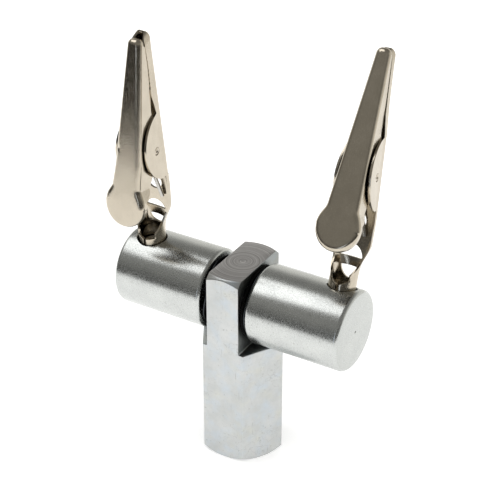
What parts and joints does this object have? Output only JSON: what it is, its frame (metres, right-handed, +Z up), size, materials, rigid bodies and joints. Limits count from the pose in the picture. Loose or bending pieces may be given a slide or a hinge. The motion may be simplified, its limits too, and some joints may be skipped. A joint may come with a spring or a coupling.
{
  "type": "electrode holder",
  "caption": "Hexagonal post carrying two stiff-turning barrels, each with a sprung clip whose thumb lever opens its jaws to grip an electrode or wire.",
  "frame": {"origin": "centre of the post's foot, where it rests", "axes": "+Z up along the post; X along the axle, +X to the right; -Y towards the clips' thumb levers"},
  "size_m": [0.0509, 0.0299, 0.0887],
  "materials": {
    "zinc_plate": "bright zinc plating on steel, bluish white, finely speckled",
    "nickel_plate": "bright nickel plating on pressed steel, warm tone",
    "bright_steel": "turned steel",
    "spring_steel": "drawn spring wire and sheet",
    "black_steel": "black oxide",
    "black_fibre": "dark hard fibre"
  },
  "bodies": {
    "post": {"post": "zinc_plate", "axle": "bright_steel", "left_friction_washer": "black_fibre", "right_friction_washer": "black_fibre"},
    "left_barrel": {"left_barrel": "zinc_plate", "left_wave_washer": "spring_steel", "left_grub_screw": "black_steel", "left_clip_spigot": "bright_steel"},
    "left_clip": {"left_lower_jaw": "nickel_plate", "left_jaw_pin": "nickel_plate", "left_jaw_spring": "spring_steel"},
    "left_lever": {"left_upper_jaw": "nickel_plate"},
    "right_barrel": {"right_barrel": "zinc_plate", "right_wave_washer": "spring_steel", "right_grub_screw": "black_steel", "right_clip_spigot": "bright_steel"},
    "right_clip": {"right_lower_jaw": "nickel_plate", "right_jaw_pin": "nickel_plate", "right_jaw_spring": "spring_steel"},
    "right_lever": {"right_upper_jaw": "nickel_plate"}
  },
  "joints": [
    {"name": "left_barrel_swivel", "type": "hinge", "parent": "post", "child": "left_barrel", "pos_m": [0, 0, 0.03485], "axis": [1, 0, 0], "range_deg": [-121.7, 108.3]},
    {"name": "left_clip_turn", "type": "hinge", "parent": "left_barrel", "child": "left_clip", "pos_m": [-0.0207, 0, 0.03485], "axis": [0.0174, -0.1166, 0.993], "continuous": true},
    {"name": "left_jaw_open", "type": "hinge", "parent": "left_clip", "child": "left_lever", "pos_m": [-0.02019, -0.00377, 0.06441], "axis": [0.9995, -0.024, -0.0204], "range_deg": [0, 20], "stiffness_Nm_per_rad": 0.12, "springref_deg": -40.11, "deforming": ["left_jaw_spring"]},
    {"name": "right_barrel_swivel", "type": "hinge", "parent": "post", "child": "right_barrel", "pos_m": [0, 0, 0.03485], "axis": [1, 0, 0], "range_deg": [-97.5, 132.5]},
    {"name": "right_clip_turn", "type": "hinge", "parent": "right_barrel", "child": "right_clip", "pos_m": [0.0207, 0.00015, 0.03533], "axis": [-0.007, 0.3007, 0.9537], "continuous": true},
    {"name": "right_jaw_open", "type": "hinge", "parent": "right_clip", "child": "right_lever", "pos_m": [0.0205, 0.00882, 0.06384], "axis": [0.9997, 0.0237, -0.0002], "range_deg": [0, 20], "stiffness_Nm_per_rad": 0.12, "springref_deg": -40.11, "deforming": ["right_jaw_spring"]}
  ]
}
